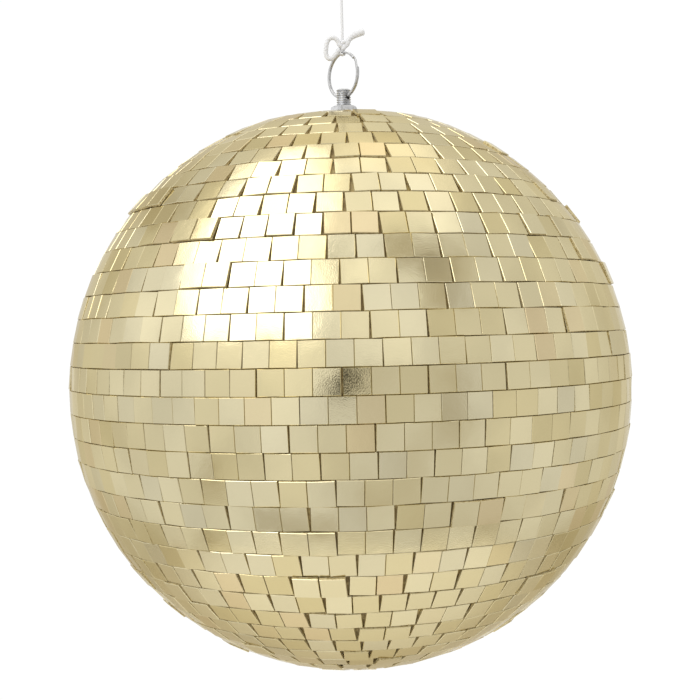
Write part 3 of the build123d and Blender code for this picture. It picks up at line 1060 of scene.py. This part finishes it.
@dataclass
class Studio:
    """The camera, the lights, the surroundings that the tiles mirror, and the floor."""

    target: Vector
    azimuth: float = 50.0
    elevation: float = 2.9
    distance: float = 0.660
    lens: float = 61.82
    aim_up: float = 1.750
    aim_right: float = 0.01
    roll: float = 1.38
    lens_spot: tuple[float, float] = (-4.7, 3.0)
    lens_spot_degrees: tuple[float, float] = (2.7, 5.8)
    lens_spot_depth: float = 0.98
    blotch_scale: float = 4.2
    blotch_levels: tuple[float, float] = (0.86, 1.09)
    back_levels: tuple[float, float] = (0.9, 1.0)
    diffuse_limit: float = 1.3
    backdrop_level: float = 1.02
    white: Colour = (1.0, 1.0, 1.0)
    warm: Colour = (1.0, 0.91, 0.72)
    floor_drop: float = 0.62
    floor_radius: float = 0.75
    floor_back: float = 0.30

    def __post_init__(self) -> None:
        """Works out the level directions as seen from the camera."""
        angle = math.radians(self.azimuth)
        self.right = Vector((math.cos(angle), math.sin(angle), 0.0))
        self.back = Vector((math.sin(angle), -math.cos(angle), 0.0))
        self.up = Vector((0.0, 0.0, 1.0))

    def build_camera(self) -> None:
        """Places the camera, aims it a little above the ball's centre and rolls it."""
        lift = math.radians(self.elevation)
        back = (self.back * math.cos(lift) + self.up * math.sin(lift)).normalized()
        place = self.target + back * self.distance
        side = self.right
        level_up = back.cross(side)
        turn = Matrix.Rotation(math.radians(self.aim_up), 3, side)
        turn = Matrix.Rotation(math.radians(-self.aim_right), 3, level_up) @ turn
        turn = turn @ Matrix.Rotation(math.radians(-self.roll), 3, back)
        axes = Matrix((turn @ side, turn @ level_up, turn @ back)).transposed()
        data = bpy.data.cameras.new("camera")
        data.lens = self.lens
        data.sensor_width = 36.0
        data.clip_start = 0.01
        camera = bpy.data.objects.new("camera", data)
        camera.matrix_world = Matrix.Translation(place) @ axes.to_4x4()
        bpy.context.scene.collection.objects.link(camera)
        bpy.context.scene.camera = camera

    def toward(self, across: float, high: float) -> Vector:
        """The direction that lies those degrees across and up from the direction to the camera."""
        apart = math.hypot(across, high)
        lean = math.radians(apart)
        aside = (self.right * across + self.up * high) / max(apart, 1e-6)
        return aside * math.sin(lean) + self.back * math.cos(lean)

    def build_world(self) -> None:
        """White where it is seen straight; for the tiles, pale walls, a large soft light and dim things."""
        world = bpy.data.worlds.new("studio")
        bpy.context.scene.world = world
        shader = Shader(world)
        ray = shader.node("TexCoord").outputs["Generated"]

        def near(aim: Vector, inner: float, outer: float) -> Num:
            """1 within inner degrees of a direction and 0 beyond outer degrees."""
            rim, core = (math.cos(math.radians(angle)) for angle in (outer, inner))
            return shader.step(shader.dot(ray, aim), rim, core)

        def inside(thing: RoomThing) -> Num:
            """1 inside the thing's outline and 0 outside it."""
            corners = [self.toward(*corner) for corner in thing.corners]
            middle = sum(corners, Vector())
            soft = math.sin(math.radians(thing.soft))
            share = None
            for first, second in zip(corners, corners[1:] + corners[:1]):
                wall = first.cross(second).normalized()
                if wall.dot(middle) < 0:
                    wall = -wall
                edge = shader.step(shader.dot(ray, wall), -soft, soft)
                share = edge if share is None else share * edge
            return share

        ahead = shader.dot(ray, self.back)
        level = shader.step(ahead, -0.85, -0.2, *self.back_levels)
        blotch = shader.noise(self.blotch_scale, 3.0, 0.6, ray)
        level = level * shader.step(blotch, 0.3, 0.7, *self.blotch_levels)
        for thing in ROOM_THINGS:
            level = level * (inside(thing) * (thing.level - 1.0) + 1.0)
        lens = near(self.toward(*self.lens_spot), *self.lens_spot_degrees)
        level = level * (1 - self.lens_spot_depth * lens)
        steep = shader.dot(ray, self.up)
        warm = shader.step(steep * steep, 0.45, 1.0) * shader.step(ahead, -0.7, 0.1, 1.0, 0.0)
        warm = warm + shader.step(level, 0.55, 0.95, 0.85, 0.0)
        colour = shader.mix(warm, self.white, self.warm)
        seen = shader.number(shader.node("LightPath").outputs["Is Camera Ray"])
        diffuse = shader.number(shader.node("LightPath").outputs["Is Diffuse Ray"])
        soft_level = level.math("MINIMUM", self.diffuse_limit)
        level = level + (soft_level - level) * diffuse
        strength = level * (1 - seen) + seen * self.backdrop_level
        shown = shader.mix(seen, colour, self.white)
        shader.surface(shader.node("Background", Color=shown, Strength=strength))

    def build_floor(self) -> None:
        """A round pale floor below the ball.

        Its points are rings of radius r at angles a: (r cos a, r sin a), joined to a middle point.
        """
        rings, sides = 24, 96
        angle = np.linspace(0, 2 * math.pi, sides, endpoint=False)
        radius = np.linspace(0, self.floor_radius, rings + 1)[1:]
        flat = radius[:, None, None] * np.stack([np.cos(angle), np.sin(angle)], axis=1)
        points = np.concatenate([flat.reshape(-1, 2), np.zeros((rings * sides, 1))], axis=1)
        points = np.concatenate([points, [[0.0, 0.0, 0.0]]])
        points[:, 2] = self.target.z - self.floor_drop
        points[:, :2] -= np.array(self.back[:2]) * self.floor_back
        faces = [tuple(f[::-1]) for f in grid_faces(rings, sides, wrap_rows=False)]
        faces += [(rings * sides, i, (i + 1) % sides) for i in range(sides)]
        mesh = bpy.data.meshes.new("floor")
        mesh.from_pydata(points.tolist(), [], [tuple(map(int, f)) for f in faces])
        mesh.materials.append(FloorFinish().build())
        floor = bpy.data.objects.new("floor", mesh)
        bpy.context.scene.collection.objects.link(floor)

    def build(self) -> None:
        """Makes the whole stage."""
        scene = bpy.context.scene
        scene.view_settings.view_transform = "Standard"
        self.build_camera()
        self.build_world()
        self.build_floor()


# ---------------- assembly


def main() -> None:
    """Builds the pieces in order: tiles, core, hanger, ring and string, and then the stage."""
    tiles = MirrorTiles()
    tiles.build(MirrorFinish().build(), CutEdgeFinish().build())
    core = CoreFinish().build()
    for node in ("core_shell_upper", "core_shell_lower", "core_joint_band"):
        dress(node, core)
    zinc = ZINC_PLATE.build()
    for node in ("hanger_stud", "hanger_nut", "hanger_washer", "inner_plate", "inner_nut"):
        dress(node, zinc)
    dress("split_ring", NICKEL_WIRE.build())
    cotton = CottonFinish().build()
    string = StringWork(float(tiles.centre[2]))
    string.build_line(cotton)
    string.build_hitch(cotton)
    string.build_slack(cotton)
    Studio(Vector(tiles.centre.tolist())).build()


if __name__ == "__main__":
    main()
